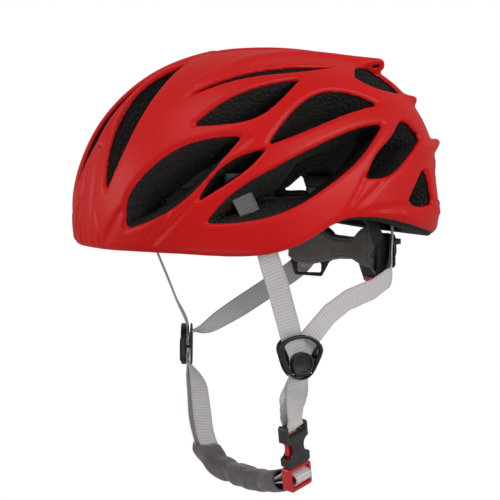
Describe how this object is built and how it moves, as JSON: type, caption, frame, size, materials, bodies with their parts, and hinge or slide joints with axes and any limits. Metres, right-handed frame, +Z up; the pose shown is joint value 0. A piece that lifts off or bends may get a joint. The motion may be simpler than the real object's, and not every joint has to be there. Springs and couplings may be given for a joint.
{
  "type": "cycling helmet",
  "caption": "Vented road cycling helmet with foam liner, webbing straps with cam dividers, padded chin strap, side-release buckle and dial-adjusted nape cradle.",
  "frame": {"origin": "middle of the wearer's head at the height of the headband, inside the liner", "axes": "+Z up, the front of the helmet faces -Y, the wearer's left is +X"},
  "size_m": [0.204, 0.2641, 0.3141],
  "materials": {
    "shell": "satin clear-coated",
    "foam": "moulded bead foam",
    "pad": "soft knitted",
    "hook": "hook tape",
    "black_plastic": "fine satin texture",
    "webbing": "ribbed polyester webbing",
    "steel": "plated",
    "buckle_grey": "satin",
    "chin_fabric": "brushed fabric",
    "cradle_pad": "laminated foam",
    "red_plastic": "satin",
    "rubber": "matte"
  },
  "bodies": {
    "helmet": {"outer_shell": "shell", "eps_liner": "foam", "brow_pad": "pad", "crown_pad_center": "pad", "crown_pad_left": "pad", "crown_pad_right": "pad", "temple_pad_left": "pad", "temple_pad_right": "pad", "hook_discs": "hook", "strap_anchors": "black_plastic", "height_rail": "black_plastic", "webbing_left": "webbing", "webbing_right": "webbing", "divider_frame_left": "black_plastic", "divider_frame_right": "black_plastic", "divider_pin_left": "steel", "divider_pin_right": "steel", "buckle_socket": "buckle_grey", "chin_pad": "chin_fabric"},
    "cradle": {"cradle_frame": "black_plastic", "housing_cover": "black_plastic", "housing_screws": "steel", "nape_pad": "cradle_pad", "cradle_insert": "red_plastic", "detent_spring": "steel"},
    "dial": {"dial_knob": "black_plastic", "dial_grip": "rubber", "pinion": "black_plastic", "dial_screw": "steel"},
    "arm_left": {"arm_left": "black_plastic", "arm_pad_left": "cradle_pad"},
    "arm_right": {"arm_right": "black_plastic", "arm_pad_right": "cradle_pad"},
    "lever_left": {"divider_lever_left": "black_plastic"},
    "lever_right": {"divider_lever_right": "black_plastic"},
    "plug": {"buckle_plug": "red_plastic"},
    "prong_front": {"buckle_prong_front": "red_plastic"},
    "prong_rear": {"buckle_prong_rear": "red_plastic"}
  },
  "joints": [
    {"name": "cradle_height", "type": "slide", "parent": "helmet", "child": "cradle", "axis": [0, 0, -1], "range_m": [0, 0.01]},
    {"name": "dial_turn", "type": "hinge", "parent": "cradle", "child": "dial", "pos_m": [0, 0.1, -0.023], "axis": [0, -1, 0], "range_deg": [0, 91.6]},
    {"name": "arm_left_slide", "type": "slide", "parent": "cradle", "child": "arm_left", "axis": [-1, 0, 0], "range_m": [0, 0.0081]},
    {"name": "arm_right_slide", "type": "slide", "parent": "cradle", "child": "arm_right", "axis": [1, 0, 0], "range_m": [0, 0.0081]},
    {"name": "lever_left_hinge", "type": "hinge", "parent": "helmet", "child": "lever_left", "pos_m": [0.0884, -0.0115, -0.0958], "axis": [0, 1, 0], "range_deg": [0, 80]},
    {"name": "lever_right_hinge", "type": "hinge", "parent": "helmet", "child": "lever_right", "pos_m": [-0.0866, -0.0145, -0.1058], "axis": [0.8832, -0.4691, 0], "range_deg": [0, 80]},
    {"name": "plug_slide", "type": "slide", "parent": "helmet", "child": "plug", "axis": [-0.2075, 0.2066, -0.9562], "range_m": [0, 0.022], "deforming": ["webbing_right"]},
    {"name": "prong_front_squeeze", "type": "hinge", "parent": "plug", "child": "prong_front", "pos_m": [0.05351, -0.00113, -0.16355], "axis": [-0.9375, -0.3212, 0.1341], "range_deg": [0, 8], "stiffness_Nm_per_rad": 0.02},
    {"name": "prong_rear_squeeze", "type": "hinge", "parent": "plug", "child": "prong_rear", "pos_m": [0.05038, 0.00922, -0.16063], "axis": [0.9375, 0.3212, -0.1341], "range_deg": [0, 8], "stiffness_Nm_per_rad": 0.02}
  ],
  "couplings": [
    {"joint": "arm_left_slide", "follows": "dial_turn", "m_per_rad": 0.005},
    {"joint": "arm_right_slide", "follows": "dial_turn", "m_per_rad": 0.005}
  ]
}
